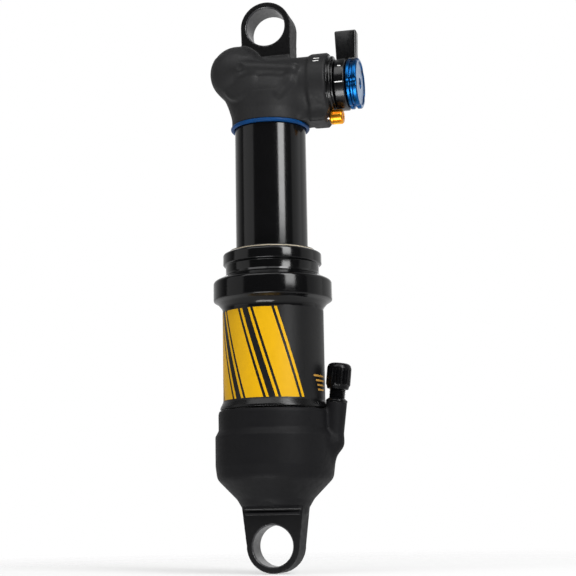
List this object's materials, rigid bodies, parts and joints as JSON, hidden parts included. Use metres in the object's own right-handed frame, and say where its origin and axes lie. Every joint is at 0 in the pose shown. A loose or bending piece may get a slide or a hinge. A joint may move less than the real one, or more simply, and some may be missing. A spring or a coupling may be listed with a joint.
{
  "type": "rear shock absorber",
  "caption": "Air-sprung rear shock absorber with two eyes, a sliding air can with a valve, a side reservoir, a mode lever and adjuster knobs.",
  "frame": {"origin": "centre of the lower eye, on the shock's axis", "axes": "+Z along the shock from the lower eye to the upper eye, +Y along both eye bores, +X towards the adjuster knobs and the air valve"},
  "size_m": [0.062, 0.0476, 0.231],
  "materials": {
    "forged_alloy_black": "satin black anodised forging",
    "gloss_alloy_black": "gloss black hard-anodised aluminium",
    "bare_alloy": "machined",
    "bright_steel": "ground steel",
    "bearing_bronze": "sintered bearing metal",
    "black_rubber": "moulded nitrile rubber",
    "blue_rubber": "moulded nitrile rubber",
    "blue_anodised": "blue anodised aluminium",
    "gold_anodised": "gold anodised aluminium",
    "glass_filled_plastic": "glass-filled nylon",
    "cap_plastic": "moulded plastic"
  },
  "bodies": {
    "damper_body": {"head_body": "forged_alloy_black", "damper_tube": "gloss_alloy_black", "inner_tube": "bright_steel", "tube_joint_seal": "black_rubber", "compression_housing": "gloss_alloy_black", "housing_seal": "black_rubber", "compression_piston": "bearing_bronze", "compression_shims": "bright_steel", "compression_bolt": "bright_steel", "detent_ball": "bright_steel", "detent_spring": "bright_steel", "rebound_gland": "bearing_bronze", "reservoir_cap": "gloss_alloy_black", "reservoir_cap_seal": "black_rubber", "reservoir_circlip": "bright_steel", "gas_fill_screw": "bright_steel", "seal_head": "bare_alloy", "air_piston_seal": "black_rubber", "air_piston_band": "bearing_bronze", "rod_bush": "bearing_bronze", "rod_oil_seal": "black_rubber", "rod_scraper": "black_rubber"},
    "floating_piston": {"floating_piston": "bare_alloy", "floating_piston_seal": "black_rubber"},
    "travel_ring": {"travel_ring": "blue_rubber"},
    "mode_lever": {"mode_lever": "gloss_alloy_black", "lever_cam": "bright_steel"},
    "low_speed_knob": {"low_speed_knob": "blue_anodised", "knob_screw": "bright_steel"},
    "low_speed_needle": {"low_speed_needle": "bright_steel"},
    "rebound_knob": {"rebound_knob": "gold_anodised"},
    "rebound_needle": {"rebound_needle": "bright_steel"},
    "glide_band": {"piston_band": "glass_filled_plastic"},
    "air_can": {"air_sleeve": "gloss_alloy_black", "can_top_cap": "gloss_alloy_black", "wiper_seal": "black_rubber", "wiper_retaining_ring": "bare_alloy", "can_bush": "bearing_bronze", "can_air_seal": "black_rubber", "cap_seal": "black_rubber", "top_out_bumper": "black_rubber", "lower_can": "forged_alloy_black", "sleeve_seal": "black_rubber", "volume_spacer": "glass_filled_plastic", "piston_rod": "bright_steel", "main_piston": "bearing_bronze", "piston_shims": "bright_steel", "piston_nut": "bright_steel", "rod_top_out_ring": "black_rubber", "bottom_out_bumper": "black_rubber", "valve_stem": "gloss_alloy_black", "valve_stem_seal": "black_rubber", "valve_core": "bearing_bronze"},
    "valve_pin": {"valve_pin": "bright_steel"},
    "cap_washer": {"valve_cap_washer": "black_rubber"},
    "valve_cap": {"valve_cap": "cap_plastic"}
  },
  "joints": [
    {"name": "travel_ring_slide", "type": "slide", "parent": "damper_body", "child": "travel_ring", "axis": [0, 0, 1], "range_m": [-0.0498, 0]},
    {"name": "stroke", "type": "slide", "parent": "damper_body", "child": "glide_band", "axis": [0, 0, 1], "range_m": [0, 0.05], "stiffness_N_per_m": 16000, "springref_m": -0.004},
    {"name": "can_swivel", "type": "hinge", "parent": "glide_band", "child": "air_can", "pos_m": [0, 0, 0], "axis": [0, 0, 1], "continuous": true},
    {"name": "floating_piston_slide", "type": "slide", "parent": "damper_body", "child": "floating_piston", "axis": [0, 1, 0], "range_m": [0, 0.0118]},
    {"name": "mode_lever_turn", "type": "hinge", "parent": "damper_body", "child": "mode_lever", "pos_m": [0.03, 0, 0.184], "axis": [1, 0, 0], "range_deg": [0, 90]},
    {"name": "low_speed_turn", "type": "hinge", "parent": "damper_body", "child": "low_speed_knob", "pos_m": [0.03, 0, 0.184], "axis": [1, 0, 0], "range_deg": [0, 320]},
    {"name": "low_speed_needle_slide", "type": "slide", "parent": "damper_body", "child": "low_speed_needle", "axis": [-1, 0, 0], "range_m": [0, 0.000444]},
    {"name": "rebound_turn", "type": "hinge", "parent": "damper_body", "child": "rebound_knob", "pos_m": [0.03, -0.002, 0.1702], "axis": [1, 0, 0], "range_deg": [0, 320]},
    {"name": "rebound_needle_slide", "type": "slide", "parent": "damper_body", "child": "rebound_needle", "axis": [-1, 0, 0], "range_m": [0, 0.000444]},
    {"name": "valve_pin_press", "type": "slide", "parent": "air_can", "child": "valve_pin", "axis": [-0.1045, 0, -0.9945], "range_m": [0, 0.0012], "stiffness_N_per_m": 600, "springref_m": -0.0005},
    {"name": "valve_cap_lift", "type": "slide", "parent": "air_can", "child": "cap_washer", "axis": [0.1045, 0, 0.9945], "range_m": [0, 0.00714]},
    {"name": "valve_cap_turn", "type": "hinge", "parent": "cap_washer", "child": "valve_cap", "pos_m": [0.02515, 0, 0.055], "axis": [0.1045, 0, 0.9945], "range_deg": [0, 3240]}
  ],
  "couplings": [
    {"joint": "floating_piston_slide", "follows": "stroke", "ratio": 0.2341},
    {"joint": "low_speed_turn", "follows": "low_speed_needle_slide", "rad_per_m": 12566},
    {"joint": "rebound_turn", "follows": "rebound_needle_slide", "rad_per_m": 12566},
    {"joint": "valve_cap_turn", "follows": "valve_cap_lift", "rad_per_m": 7913.3}
  ]
}
